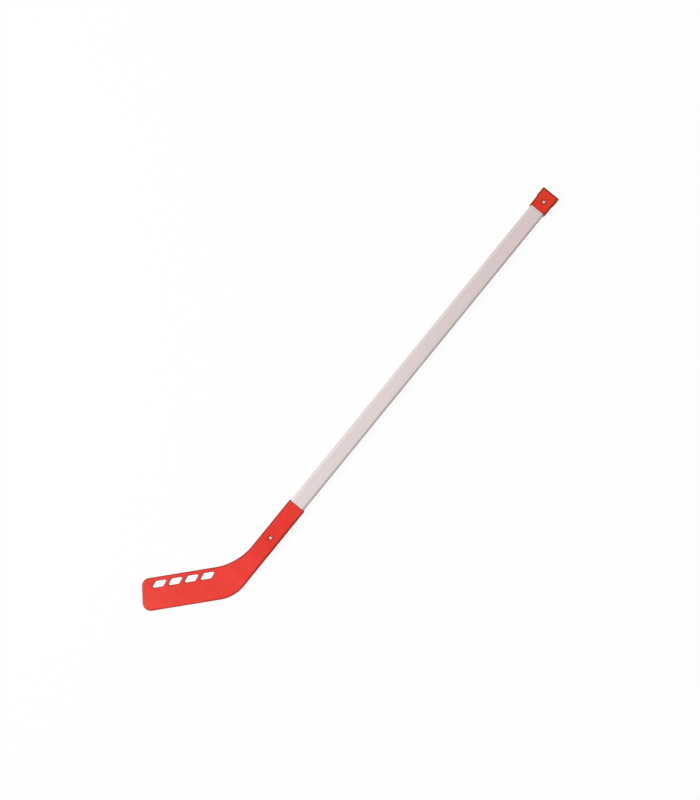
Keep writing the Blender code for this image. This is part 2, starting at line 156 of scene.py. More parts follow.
# Camera: the photograph's place and scale
IMAGE_WIDTH = 700
IMAGE_HEIGHT = 800
MOUTH_PIXEL = (296.56, 505.21)  # the middle of the hosel's mouth, at the blade's front face
SHAFT_ANGLE = math.radians(50.88)  # the shaft's rise to the right
MM_PER_PIXEL = 1.747
CAMERA_DISTANCE = 2.6  # above the blade's front face
SENSOR_WIDTH = 36

# Light: a level is the share that a source gives to a surface that faces up, under the hosel
LAMPS = (  # name, level, place, diameter
    ("key", 0.68, (-0.60, 1.2, 2.6), 1.4),
    ("side", 0.06, (-0.30, 3.0, 1.2), 1.2),
)
FILL_LEVEL = 0.26
FLOOR_SIZE = 60
FLOOR_DROP = 0.1 * MM  # a hair's breadth, so that the stick's flat backs don't lie in its own plane
FLOOR_MIDDLE = (0.235, 0.05, 0)
FLOOR_PLAIN_FROM = 0.6  # the floor's shading fades out from here, away from the stick
FLOOR_PLAIN_TO = 1.3
FLOOR_GLOW = 0.94  # the share of its white that doesn't come from the light that falls on it

# Finishes: the size of each pattern and the height of its relief
POLYETHYLENE_CLOUD = 35 * MM
POLYETHYLENE_GRAIN = 1 * MM  # the real one is about 0.1 mm, and even 1 mm shows only faintly, close up
POLYETHYLENE_RELIEF = 0.12 * MM
POLYETHYLENE_ROUGHNESS = (0.56, 0.66)  # least and most
EDGE_SHADE_START = 0.998  # painted shade: a rounded edge starts to be painted darker where its normal's Z has fallen to this
EDGE_SHADE_FULL = 0.82  # and its painted shade is darkest here
RECESS_SHADE_FROM = 0.2 * MM  # depth below the face where the painted shade in a recess starts
RECESS_SHADE_TO = 0.9 * MM
SHEEN_FROM = 30 * MM  # distance from the rivet where the painted sheen starts
SHEEN_TO = 240 * MM
ABS_STREAK_WIDTH = 3 * MM  # the real ones are finer than 0.5 mm: drawn coarser, so that they show
ABS_STREAK_LENGTH = 150 * MM
ABS_STREAKED = (0.35, 0.65)  # where in the pattern a streak starts, and where it is full
ABS_RELIEF = 0.08 * MM  # too slight to show: the streaks show by their colour
ABS_ROUGHNESS = (0.5, 0.6)
METAL_RING = 0.25 * MM
METAL_SPECKLE = 0.4 * MM
METAL_RELIEF = 0.01 * MM  # too slight for the rings to show, even in a close view of a rivet
PAINTED_HIGHLIGHT_TO = 1.5 * MM  # a rivet's head keeps its paler colour, a painted highlight, as far out as this
# from here out a rivet's head is painted darker, a painted shade
RIM_SHADE_FROM = 2.3 * MM

# Headings in plan: down the shaft, and on along the blade
TO_BLADE = math.pi
TO_TOE = TO_BLADE - LIE


def direction(heading):
    """A unit vector in plan, from its angle to the X axis."""
    return Vector((math.cos(heading), math.sin(heading)))


def blade_point(along, height):
    """A point in plan, from its place along the blade's base line and its height over that line."""
    crossing = Vector((MOUTH_X - MOUTH_TO_BASE, 0))
    return crossing + direction(TO_TOE) * along + direction(TO_TOE - math.pi / 2) * height


def eased(share):
    """A share of the way, with a gentle start and a gentle end."""
    return share * share * (3 - 2 * share)


# Meshes


def skin(loops):
    """A skin through loops of equally many points, closed at the first. Gives the last ring too."""
    bm = bmesh.new()
    rings = [[bm.verts.new(point) for point in loop] for loop in loops]
    count = len(rings[0])
    for ring, after in zip(rings, rings[1:]):
        for i in range(count):
            j = (i + 1) % count
            bm.faces.new((ring[i], ring[j], after[j], after[i]))
    bm.faces.new(rings[0])
    return bm, rings[-1]


def loft(name, loops):
    """A closed body through loops of equally many points, with a flat end at both ends."""
    bm, last = skin(loops)
    bm.faces.new(last)
    return finished_mesh(name, bm)


def finished_mesh(name, bm):
    bmesh.ops.recalc_face_normals(bm, faces=bm.faces)
    mesh = bpy.data.meshes.new(name)
    bm.to_mesh(mesh)
    bm.free()
    return mesh


def add_object(name, mesh):
    obj = bpy.data.objects.new(name, mesh)
    bpy.context.scene.collection.objects.link(obj)
    return obj


def cut(target, name, mesh):
    """Cuts the mesh out of the target and takes the tool away again."""
    tool = add_object(name, mesh)
    boolean = target.modifiers.new(name, "BOOLEAN")
    boolean.operation = "DIFFERENCE"
    boolean.solver = "EXACT"
    boolean.object = tool
    make_plain(target)
    bpy.data.objects.remove(tool, do_unlink=True)


def make_plain(obj):
    """Turns what an object's modifiers make into its own mesh."""
    graph = bpy.context.evaluated_depsgraph_get()
    mesh = bpy.data.meshes.new_from_object(obj.evaluated_get(graph), depsgraph=graph)
    mesh.name = obj.name
    obj.modifiers.clear()
    obj.data = mesh


def shade(obj):
    """Smooth shading that keeps flat faces flat, with real edges left sharp."""
    obj.data.shade_smooth()
    obj.data.set_sharp_from_angle(angle=SMOOTH_ANGLE)
    weighted = obj.modifiers.new("weighted normals", "WEIGHTED_NORMAL")
    weighted.mode = "FACE_AREA"
    weighted.weight = 100
    weighted.keep_sharp = True
    make_plain(obj)


def rounded_rectangle(half_width, half_height, radius):
    """Points round a rectangle, counter-clockwise from its right side."""
    points = []
    for quarter, (x, y) in enumerate(((1, 1), (-1, 1), (-1, -1), (1, -1))):
        centre = Vector((x * (half_width - radius), y * (half_height - radius)))
        for step in range(CORNER_STEPS + 1):
            angle = (quarter + step / CORNER_STEPS) * math.pi / 2
            points.append(centre + direction(angle) * radius)
    return points


def across(x, outline):
    """An outline in Y and Z, set across the shaft at x."""
    return [Vector((x, point.x, MIDDLE_Z + point.y)) for point in outline]


def circle(radius, height):
    """A ring of points round the Z axis."""
    turns = (2 * math.pi * step / TURNED_STEPS for step in range(TURNED_STEPS))
    return [Vector((radius * math.cos(turn), radius * math.sin(turn), height)) for turn in turns]


def rim(radius):
    """The arc of a rounded rim, up to the face: how deep each point is, and how far out."""
    turns = [RIM_TURN * step / RIM_STEPS for step in range(RIM_STEPS + 1)]
    return [(radius * (1 - math.sin(turn)), radius * (1 - math.cos(turn))) for turn in turns]


def socket_tool(name, mouth_x, depth, inward):
    """The plug that opens a socket, with a rounded rim at its mouth. inward is +1 or -1 along X."""
    half_width = SHAFT_WIDTH / 2 + SOCKET_CLEARANCE
    half_height = SHAFT_THICKNESS / 2 + SOCKET_CLEARANCE
    radius = SHAFT_CORNER_RADIUS + SOCKET_CLEARANCE
    places = [(depth, 0)] + rim(SOCKET_RIM_RADIUS)
    places.append((-CUT_OVERRUN, places[-1][1]))
    loops = []
    for deep, wider in places:
        outline = rounded_rectangle(half_width + wider, half_height + wider, radius + wider)
        loops.append(across(mouth_x + inward * deep, outline))
    return loft(name, loops)


def recess_tool(name, x, side):
    """A rivet's hole and recess, as one turned tool. side is +1 for the front, -1 for the back."""
    hole = RIVET_BODY_RADIUS + RIVET_CLEARANCE
    floor = -RECESS_DEPTH
    profile = [(hole, -SOCKET_FACE_WALL - CUT_OVERRUN), (hole, floor)]
    for step in range(RIM_STEPS + 1):
        turn = math.pi / 2 * step / RIM_STEPS
        out = RECESS_RADIUS - RECESS_FLOOR_RADIUS * (1 - math.sin(turn))
        profile.append((out, floor + RECESS_FLOOR_RADIUS * (1 - math.cos(turn))))
    profile += [(RECESS_RADIUS + wider, -deep) for deep, wider in rim(RECESS_RIM_RADIUS)]
    profile.append((profile[-1][0], CUT_OVERRUN))
    mesh = loft(name, [circle(radius, height) for radius, height in profile])
    facing = Matrix.Rotation(0 if side > 0 else math.pi, 4, "X")
    mesh.transform(Matrix.Translation((x, 0, MIDDLE_Z + side * STICK_THICKNESS / 2)) @ facing)
    return mesh


def vent_tool():
    """The slot of one vent round the origin, with rounded rims on both of the blade's faces.

    A parallelogram with rounded corners is a smaller one with a circle run round it, so each point
    is one of the smaller one's corners and a radius in the direction that the point faces.
    """
    inner_length = VENT_LENGTH / 2 - VENT_CORNER_RADIUS / math.sin(VENT_SLANT)
    inner_height = VENT_HEIGHT / 2 - VENT_CORNER_RADIUS
    side = direction(TO_TOE) * inner_length
    rise = direction(TO_TOE - math.pi / 2) * inner_height
    slant = rise - direction(TO_TOE) * (inner_height / math.tan(VENT_SLANT))
    half_thickness = BLADE_THICKNESS / 2

    upper = [(half_thickness - deep, wider) for deep, wider in rim(VENT_RIM_RADIUS)]
    upper.append((half_thickness + CUT_OVERRUN, upper[-1][1]))
    lower = [(-height, wider) for height, wider in reversed(upper)]

    loops = []
    for height, wider in lower + upper:
        loop = []
        for step in range(TURNED_STEPS):
            facing = direction(TO_TOE + 2 * math.pi * (step + 0.5) / TURNED_STEPS)
            corner = side * math.copysign(1, facing.dot(side))
            corner += slant * math.copysign(1, facing.dot(slant))
            point = corner + facing * (VENT_CORNER_RADIUS + wider)
            loop.append(Vector((point.x, point.y, height)))
        loops.append(loop)
    return loft("vent_tool", loops)


# Node trees


def add_node(tree, kind, inputs=None, **settings):
    """Adds a node. An input is given a value, or is linked where it is given a socket.

    Inputs go by name, or by number where a node has more than one of a name. A Mix node of colours
    takes its share in input 0 and its two colours in 6 and 7, and gives output 2.
    """
    node = tree.nodes.new(kind)
    for name, value in settings.items():
        setattr(node, name, value)
    for name, value in (inputs or {}).items():
        if isinstance(value, bpy.types.NodeSocket):
            tree.links.new(value, node.inputs[name])
        else:
            node.inputs[name].default_value = value
    return node


def new_tree(name, *inputs):
    tree = bpy.data.node_groups.new(name, "GeometryNodeTree")
    for label, kind in inputs:
        tree.interface.new_socket(name=label, in_out="INPUT", socket_type=kind)
    tree.interface.new_socket(name="Geometry", in_out="OUTPUT", socket_type="NodeSocketGeometry")
    return tree


def end_tree(tree, geometry, material):
    """Ends a tree of Geometry Nodes in real geometry of one material."""
    real = add_node(tree, "GeometryNodeRealizeInstances", {0: geometry})
    finished = add_node(
        tree, "GeometryNodeSetMaterial", {"Geometry": real.outputs[0], "Material": material}
    )
    add_node(tree, "NodeGroupOutput", {"Geometry": finished.outputs[0]})


def grow(obj, tree, values):
    """Runs a tree on an object with the given input values and keeps the result as its mesh."""
    modifier = obj.modifiers.new(tree.name, "NODES")
    modifier.node_group = tree
    for item in tree.interface.items_tree:
        if item.in_out == "INPUT" and item.name in values:
            modifier[item.identifier] = values[item.name]
    make_plain(obj)


def settle(obj, slot, *nodes):
    """Puts a finished piece on the stick's one body, in place of its solids."""
    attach(obj, "root")
    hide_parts(*nodes)


# Blade


def walk(point, heading, legs, distance):
    """Follows an outline and gives the point and the heading at a distance along it.

    Each leg is its length and its turn in radians: no turn is straight, any other is an arc.
    """
    for length, turn in legs:
        step = min(distance, length)
        turned = turn * step / length
        if turn:
            centre = point + direction(heading + math.pi / 2) * (length / turn)
            point = centre - direction(heading + turned + math.pi / 2) * (length / turn)
        else:
            point = point + direction(heading) * step
        heading += turned
        distance -= step
        if distance <= 0:
            break
    return point, heading


def blade_outline():
    """The legs of the blade's two sides, from the hosel's mouth to the toe, and their zones.

    A zone has its length on the lower and on the upper side, its number of steps, and how far it
    has thinned from the hosel to the blade at its start and at its end.
    """
    corner = math.tan(LIE / 2)
    lower_toe_turn = math.pi / 2 + TOE_LEAN
    upper_toe_turn = math.pi / 2 - TOE_LEAN

    heel_along = -HOSEL_HALF_WIDTH / math.sin(LIE)
    to_heel = MOUTH_X - blade_point(heel_along, 0).x - HEEL_RADIUS * corner
    heel = HEEL_RADIUS * LIE
    base_start = heel_along + HEEL_RADIUS * corner
    base = BLADE_LENGTH - TOE_LOWER_RADIUS * math.tan(lower_toe_turn / 2) - base_start
    lower_toe = TOE_LOWER_RADIUS * lower_toe_turn

    neck_along = (HOSEL_HALF_WIDTH - BLADE_HEIGHT * math.cos(LIE)) / math.sin(LIE)
    to_neck = MOUTH_X - blade_point(neck_along, BLADE_HEIGHT).x - NECK_RADIUS * corner
    neck = NECK_RADIUS * LIE
    top_start = neck_along + NECK_RADIUS * corner
    top_corner = BLADE_LENGTH - BLADE_HEIGHT * math.tan(TOE_LEAN)
    top = top_corner - TOE_UPPER_RADIUS * math.tan(upper_toe_turn / 2) - top_start
    upper_toe = TOE_UPPER_RADIUS * upper_toe_turn

    lower = [(to_heel, 0), (heel, -LIE), (base, 0), (lower_toe, -lower_toe_turn)]
    upper = [(to_neck, 0), (neck, -LIE), (top, 0), (upper_toe, upper_toe_turn)]
    zones = [
        (PARTING_START, PARTING_START, 1, 0, 0),
        (to_neck - PARTING_START, to_neck - PARTING_START, BLADE_STEPS, 0, 0),
        (to_heel - to_neck + heel, neck, BEND_STEPS, 0, 1),
        (base, top, BLADE_STEPS, 1, 1),
        (lower_toe, upper_toe, TOE_STEPS, 1, 1),
    ]
    return lower, upper, zones


def edge_points(point, outward, thickness, radius, ridge):
    """Points over one long edge of a section, from its front face over the parting line."""
    front = []
    for step in range(EDGE_STEPS + 1):
        angle = math.pi / 2 * (1 - step / EDGE_STEPS)
        inset = radius * (1 - math.cos(angle))
        front.append((inset, thickness / 2 - radius + radius * math.sin(angle)))
    front.append((0, PARTING_HALF_WIDTH))
    back = [(inset, -height) for inset, height in reversed(front)]
    points = []
    for inset, height in front + [(-PARTING_HEIGHT * ridge, 0)] + back:
        place = point - outward * inset
        points.append(Vector((place.x, place.y, MIDDLE_Z + height)))
    return points


def blade_sections():
    """Closed loops of points round the blade, from the hosel's mouth to the toe."""
    lower_legs, upper_legs, zones = blade_outline()
    sections = []

    def add(lower_distance, upper_distance, thinned, inset=0, ridge=1):
        start = Vector((MOUTH_X, -HOSEL_HALF_WIDTH))
        lower, heading = walk(start, TO_BLADE, lower_legs, lower_distance)
        lower_out = direction(heading + math.pi / 2)
        start = Vector((MOUTH_X, HOSEL_HALF_WIDTH))
        upper, heading = walk(start, TO_BLADE, upper_legs, upper_distance)
        upper_out = direction(heading - math.pi / 2)
        thickness = STICK_THICKNESS + (BLADE_THICKNESS - STICK_THICKNESS) * thinned - 2 * inset
        radius = HOSEL_EDGE_RADIUS + (BLADE_EDGE_RADIUS - HOSEL_EDGE_RADIUS) * thinned - inset
        near = edge_points(lower - lower_out * inset, lower_out, thickness, radius, ridge)
        far = edge_points(upper - upper_out * inset, upper_out, thickness, radius, ridge)
        sections.append(near + far[::-1])

    for step in range(RIM_STEPS + 1):
        angle = math.pi / 2 * step / RIM_STEPS
        distance = HOSEL_RIM_RADIUS * (1 - math.cos(angle))
        add(distance, distance, 0, HOSEL_RIM_RADIUS * (1 - math.sin(angle)), 0)

    lower_done = 0
    upper_done = 0
    for lower_length, upper_length, steps, first, last in zones:
        for step in range(1, steps + 1):
            share = step / steps
            lower_distance = lower_done + lower_length * share
            upper_distance = upper_done + upper_length * share
            add(lower_distance, upper_distance, first + (last - first) * eased(share))
        lower_done += lower_length
        upper_done += upper_length
    return sections


def blade_body():
    """The blade before it is cut: a loft from the hosel's mouth to the toe's straight end."""
    bm, toe = skin(blade_sections())
    count = len(toe)
    for i in range(count // 2 - 1):
        bm.faces.new((toe[i], toe[i + 1], toe[count - 2 - i], toe[count - 1 - i]))
    return finished_mesh("blade", bm)


def cut_row(tree, target, tool, count, first, step):
    """Nodes that cut a tool out of a body several times, in a straight row."""
    row = add_node(
        tree, "GeometryNodeMeshLine", {"Count": count, "Start Location": first, "Offset": step}
    )
    repeated = add_node(
        tree, "GeometryNodeInstanceOnPoints", {"Points": row.outputs["Mesh"], "Instance": tool}
    )
    solid = add_node(tree, "GeometryNodeRealizeInstances", {0: repeated.outputs[0]})
    return add_node(
        tree,
        "GeometryNodeMeshBoolean",
        {"Mesh 1": target, "Mesh 2": solid.outputs[0]},
        operation="DIFFERENCE",
        solver="EXACT",
    ).outputs["Mesh"]


def vented():
    """Geometry Nodes that open the blade's vents with one tool."""
    tree = new_tree(
        "vented",
        ("Geometry", "NodeSocketGeometry"),
        ("Tool", "NodeSocketObject"),
        ("Count", "NodeSocketInt"),
        ("First", "NodeSocketVector"),
        ("Step", "NodeSocketVector"),
        ("Material", "NodeSocketMaterial"),
    )
    given = add_node(tree, "NodeGroupInput").outputs
    tool = add_node(tree, "GeometryNodeObjectInfo", {"Object": given["Tool"]}).outputs["Geometry"]
    opened = cut_row(tree, given["Geometry"], tool, given["Count"], given["First"], given["Step"])
    end_tree(tree, opened, given["Material"])
    return tree


def make_blade(material):
    """One moulding: the blade, its neck and the hosel, which is a socket for the shaft."""
    blade = add_object("moulded_blade", blade_body())
    cut(blade, "hosel_socket", socket_tool("hosel_socket", MOUTH_X, HOSEL_SOCKET_DEPTH, -1))
    for side in (1, -1):
        cut(blade, "recess", recess_tool("recess", BLADE_RIVET_X, side))
    tool = add_object("vent_tool", vent_tool())
    middle_height = BLADE_HEIGHT - VENT_TO_TOP_EDGE - VENT_HEIGHT / 2
    place = blade_point(BLADE_LENGTH - VENT_TO_TOE, middle_height)
    step = direction(TO_TOE) * -VENT_PITCH
    grow(
        blade,
        vented(),
        {
            "Tool": tool,
            "Count": VENT_COUNT,
            "First": (place.x, place.y, MIDDLE_Z),
            "Step": (step.x, step.y, 0),
            "Material": material,
        },
    )
    bpy.data.objects.remove(tool, do_unlink=True)
    shade(blade)
    settle(blade, "blade_plastic", "blade")


# Butt cap


def make_cap(material):
    """A moulded cap that widens a little towards the butt, over the shaft's upper end."""
    half_height = (CAP_HIGH.z - CAP_LOW.z) / 2
    half_width = CAP_HIGH.y - CAP_FLARE
    length = CAP_HIGH.x - CAP_LOW.x
    loops = []

    def add(along, side_inset, face_inset):
        outline = rounded_rectangle(
            half_width - side_inset, half_height - face_inset, CAP_EDGE_RADIUS - face_inset
        )
        loops.append(across(CAP_LOW.x + along, outline))

    for step in range(RIM_STEPS + 1):
        turn = math.pi / 2 * step / RIM_STEPS
        inset = CAP_RIM_RADIUS * (1 - math.sin(turn))
        add(CAP_RIM_RADIUS * (1 - math.cos(turn)), inset, inset)
    for step in range(FLARE_STEPS + 1):
        share = step / FLARE_STEPS
        add(CAP_FLARE_START + CAP_FLARE_LENGTH * share, -CAP_FLARE * eased(share), 0)
    for step in range(1, EDGE_STEPS + 1):
        turn = math.pi / 2 * step / EDGE_STEPS
        to_end = CAP_EDGE_RADIUS * (1 - math.sin(turn))
        face_inset = min(CAP_EDGE_RADIUS * (1 - math.cos(turn)), CAP_EDGE_RADIUS - TOLERANCE)
        rise = max(0, CAP_CORNER_RADIUS - to_end)
        side_inset = CAP_CORNER_RADIUS - math.sqrt(CAP_CORNER_RADIUS ** 2 - rise ** 2)
        add(length - to_end, side_inset - CAP_FLARE, face_inset)
    cap = add_object("moulded_butt_cap", loft("moulded_butt_cap", loops))
    cut(cap, "cap_socket", socket_tool("cap_socket", CAP_LOW.x, CAP_SOCKET_DEPTH, 1))
    for side in (1, -1):
        cut(cap, "recess", recess_tool("recess", CAP_RIVET_X, side))
    cap.data.materials.append(material)
    shade(cap)
    settle(cap, "cap_plastic", "butt_cap")


# Shaft


def extruded_tube():
    """Geometry Nodes for a rectangular tube along X, with holes through its front and its back."""
    tree = new_tree(
        "extruded_tube",
        ("Geometry", "NodeSocketGeometry"),
        ("Start", "NodeSocketVector"),
        ("End", "NodeSocketVector"),
        ("Width", "NodeSocketFloat"),
        ("Thickness", "NodeSocketFloat"),
        ("Corner Radius", "NodeSocketFloat"),
        ("Corner Steps", "NodeSocketInt"),
        ("Wall", "NodeSocketFloat"),
        ("Overrun", "NodeSocketFloat"),
        ("Hole Radius", "NodeSocketFloat"),
        ("First Hole", "NodeSocketVector"),
        ("Hole Spacing", "NodeSocketVector"),
        ("Material", "NodeSocketMaterial"),
    )
    given = add_node(tree, "NodeGroupInput").outputs
    thinner = add_node(
        tree, "ShaderNodeMath", {0: given["Wall"], 1: -2.0}, operation="MULTIPLY"
    ).outputs[0]
    beyond = add_node(tree, "ShaderNodeCombineXYZ", {"X": given["Overrun"]}).outputs[0]
    bodies = []
    for inside in (False, True):
        width = given["Width"]
        thickness = given["Thickness"]
        radius = given["Corner Radius"]
        start = given["Start"]
        end = given["End"]
        if inside:
            width = add_node(tree, "ShaderNodeMath", {0: width, 1: thinner}).outputs[0]
            thickness = add_node(tree, "ShaderNodeMath", {0: thickness, 1: thinner}).outputs[0]
            radius = add_node(
                tree, "ShaderNodeMath", {0: radius, 1: given["Wall"]}, operation="SUBTRACT"
            ).outputs[0]
            start = add_node(
                tree, "ShaderNodeVectorMath", {0: start, 1: beyond}, operation="SUBTRACT"
            ).outputs[0]
            end = add_node(tree, "ShaderNodeVectorMath", {0: end, 1: beyond}).outputs[0]
        line = add_node(tree, "GeometryNodeCurvePrimitiveLine", {"Start": start, "End": end})
        upright = add_node(
            tree, "GeometryNodeSetCurveNormal", {"Curve": line.outputs[0]}, mode="Z_UP"
        )
        corners = add_node(
            tree, "GeometryNodeCurvePrimitiveQuadrilateral", {"Width": width, "Height": thickness}
        )
        outline = add_node(
            tree,
            "GeometryNodeFilletCurve",
            {"Curve": corners.outputs[0], "Radius": radius, "Count": given["Corner Steps"]},
            mode="POLY",
        )
        swept = add_node(
            tree,
            "GeometryNodeCurveToMesh",
            {"Curve": upright.outputs[0], "Profile Curve": outline.outputs[0], "Fill Caps": True},
        )
        bodies.append(swept.outputs[0])
    tube = add_node(
        tree,
        "GeometryNodeMeshBoolean",
        {"Mesh 1": bodies[0], "Mesh 2": bodies[1]},
        operation="DIFFERENCE",
        solver="EXACT",
    ).outputs["Mesh"]
    drill = add_node(
        tree,
        "GeometryNodeMeshCylinder",
        {"Vertices": TURNED_STEPS, "Radius": given["Hole Radius"], "Depth": given["Width"]},
    ).outputs["Mesh"]
    holes = len(RIVET_PLACES)
    drilled = cut_row(tree, tube, drill, holes, given["First Hole"], given["Hole Spacing"])
    end_tree(tree, drilled, given["Material"])
    return tree


def make_shaft(material):
    """A plain tube, drilled for the rivets' bodies."""
    shaft = add_object("extruded_shaft", bpy.data.meshes.new("extruded_shaft"))
    grow(
        shaft,
        extruded_tube(),
        {
            "Start": (SHAFT_LOW.x, 0, MIDDLE_Z),
            "End": (SHAFT_HIGH.x, 0, MIDDLE_Z),
            "Width": SHAFT_WIDTH,
            "Thickness": SHAFT_THICKNESS,
            "Corner Radius": SHAFT_CORNER_RADIUS,
            "Corner Steps": CORNER_STEPS,
            "Wall": SHAFT_WALL,
            "Overrun": CUT_OVERRUN,
            "Hole Radius": RIVET_BODY_RADIUS + RIVET_CLEARANCE,
            "First Hole": (BLADE_RIVET_X, 0, MIDDLE_Z),
            "Hole Spacing": (CAP_RIVET_X - BLADE_RIVET_X, 0, 0),
            "Material": material,
        },
    )
    shade(shaft)
    settle(shaft, "shaft_plastic", "shaft")


# Rivets


def lathe_and_seat():
    """Geometry Nodes that turn a profile and seat copies of it at both rivet places, front and back.

    The profile has its radii along X and its heights along Y. Each copy is turned by chance about
    its own axis, and keeps the place that its surface had on the lathe for the marks of its finish.
    """
    tree = new_tree(
        "lathe_and_seat",
        ("Geometry", "NodeSocketGeometry"),
        ("Lathe Radius", "NodeSocketFloat"),
        ("Turned Steps", "NodeSocketInt"),
        ("Merge Distance", "NodeSocketFloat"),
        ("Break Height", "NodeSocketFloat"),
        ("Break Roughness", "NodeSocketFloat"),
        ("Break Grain", "NodeSocketFloat"),
        ("First Seat", "NodeSocketVector"),
        ("Seat Spacing", "NodeSocketVector"),
        ("Seat Height", "NodeSocketFloat"),
        ("Seed", "NodeSocketInt"),
        ("Material", "NodeSocketMaterial"),
    )
    given = add_node(tree, "NodeGroupInput").outputs
    profile = add_node(tree, "GeometryNodeMeshToCurve", {"Mesh": given["Geometry"]})
    inwards = add_node(
        tree, "ShaderNodeMath", {0: given["Lathe Radius"], 1: -1.0}, operation="MULTIPLY"
    )
    shift = add_node(tree, "ShaderNodeCombineXYZ", {"X": inwards.outputs[0]})
    centred = add_node(
        tree, "GeometryNodeSetPosition", {"Geometry": profile.outputs[0], "Offset": shift.outputs[0]}
    )
    path = add_node(
        tree,
        "GeometryNodeCurvePrimitiveCircle",
        {"Resolution": given["Turned Steps"], "Radius": given["Lathe Radius"]},
    )
    upright = add_node(tree, "GeometryNodeSetCurveNormal", {"Curve": path.outputs[0]}, mode="Z_UP")
    swept = add_node(
        tree,
        "GeometryNodeCurveToMesh",
        {"Curve": upright.outputs[0], "Profile Curve": centred.outputs[0]},
    )
    whole = add_node(
        tree,
        "GeometryNodeMergeByDistance",
        {"Geometry": swept.outputs[0], "Distance": given["Merge Distance"]},
    )
    place = add_node(tree, "GeometryNodeInputPosition").outputs[0]
    height = add_node(tree, "ShaderNodeSeparateXYZ", {0: place}).outputs["Z"]
    broken = add_node(
        tree, "FunctionNodeCompare", {0: height, 1: given["Break Height"]}, operation="GREATER_THAN"
    )
    crumbs = add_node(tree, "ShaderNodeTexNoise", {"Vector": place, "Scale": given["Break Grain"]})
    rise = add_node(
        tree,
        "ShaderNodeMath",
        {0: crumbs.outputs[0], 1: given["Break Roughness"]},
        operation="MULTIPLY",
    )
    raised = add_node(tree, "ShaderNodeCombineXYZ", {"Z": rise.outputs[0]})
    torn = add_node(
        tree,
        "GeometryNodeSetPosition",
        {"Geometry": whole.outputs[0], "Selection": broken.outputs[0], "Offset": raised.outputs[0]},
    )
    marked = add_node(
        tree,
        "GeometryNodeStoreNamedAttribute",
        {"Geometry": torn.outputs[0], "Name": "lathe_place", "Value": place},
        data_type="FLOAT_VECTOR",
        domain="POINT",
    )

    seat = add_node(tree, "GeometryNodeInputIndex").outputs[0]
    sides = len(RIVET_SIDES)
    shared = add_node(tree, "ShaderNodeMath", {0: seat, 1: sides}, operation="DIVIDE")
    station = add_node(tree, "ShaderNodeMath", {0: shared.outputs[0]}, operation="FLOOR")
    behind = add_node(tree, "ShaderNodeMath", {0: seat, 1: sides}, operation="MODULO").outputs[0]
    along = add_node(
        tree,
        "ShaderNodeVectorMath",
        {0: given["Seat Spacing"], "Scale": station.outputs[0]},
        operation="SCALE",
    )
    on_axis = add_node(tree, "ShaderNodeVectorMath", {0: given["First Seat"], 1: along.outputs[0]})
    side = add_node(tree, "ShaderNodeMath", {0: behind, 1: -2.0, 2: 1.0}, operation="MULTIPLY_ADD")
    lift = add_node(
        tree, "ShaderNodeMath", {0: side.outputs[0], 1: given["Seat Height"]}, operation="MULTIPLY"
    )
    lifted = add_node(tree, "ShaderNodeCombineXYZ", {"Z": lift.outputs[0]})
    middle = add_node(tree, "ShaderNodeVectorMath", {0: on_axis.outputs[0], 1: lifted.outputs[0]})
    seats = add_node(tree, "GeometryNodeMeshLine", {"Count": len(RIVET_PLACES) * sides})
    placed = add_node(
        tree,
        "GeometryNodeSetPosition",
        {"Geometry": seats.outputs[0], "Position": middle.outputs[0]},
    )
    chance = add_node(tree, "FunctionNodeRandomValue", {"Seed": given["Seed"]}, data_type="FLOAT")
    spin = add_node(
        tree, "ShaderNodeMath", {0: chance.outputs[1], 1: 2 * math.pi}, operation="MULTIPLY"
    )
    over = add_node(tree, "ShaderNodeMath", {0: behind, 1: math.pi}, operation="MULTIPLY")
    turn = add_node(tree, "ShaderNodeCombineXYZ", {"X": over.outputs[0], "Z": spin.outputs[0]})
    copies = add_node(
        tree,
        "GeometryNodeInstanceOnPoints",
        {"Points": placed.outputs[0], "Instance": marked.outputs[0], "Rotation": turn.outputs[0]},
    )
    end_tree(tree, copies.outputs[0], given["Material"])
    return tree


def rivet_body_profile():
    """A domed head with a low lip round the mandrel, a plain shank, and the set bulb."""
    bore = MANDREL_RADIUS + RIVET_CLEARANCE / 2
    seat = RIVET_CLEARANCE
    dome = []
    for step in range(DOME_STEPS + 1):
        share = step / DOME_STEPS
        drop = (RIVET_HEAD_HEIGHT - RIVET_HEAD_RIM) * share * share
        lip = RIVET_HEAD_LIP * math.exp(-((share - LIP_PLACE) / LIP_SPREAD) ** 2)
        out = bore + (RIVET_HEAD_RADIUS - bore) * share
        dome.append((out, seat + RIVET_HEAD_HEIGHT - drop + lip))
    blind = -RIVET_GRIP - RIVET_CLEARANCE
    end = blind - RIVET_BULB_LENGTH
    return dome + [
        (RIVET_HEAD_RADIUS, seat),
        (RIVET_BODY_RADIUS, seat),
        (RIVET_BODY_RADIUS, blind),
        (RIVET_BULB_RADIUS, blind - RIVET_BULB_SWELL),
        (RIVET_BULB_RADIUS, blind - RIVET_BULB_SWELL - RIVET_BULB_WIDEST),
        (RIVET_BODY_RADIUS, end),
        (bore, end),
    ]


def mandrel_profile():
    """The stem that fills the body's bore, with its broken end, and its own head below."""
    top = MANDREL_TOP
    shoulder = -RIVET_GRIP - RIVET_BULB_LENGTH - 2 * RIVET_CLEARANCE
    end = shoulder - MANDREL_HEAD_LENGTH
    broken = [(MANDREL_RADIUS * step / BREAK_STEPS, top) for step in range(BREAK_STEPS + 1)]
    return broken + [
        (MANDREL_RADIUS, shoulder),
        (MANDREL_HEAD_RADIUS, shoulder),
        (MANDREL_HEAD_RADIUS, end + MANDREL_TIP_LENGTH),
        (MANDREL_TIP_RADIUS, end),
        (0, end),
    ]


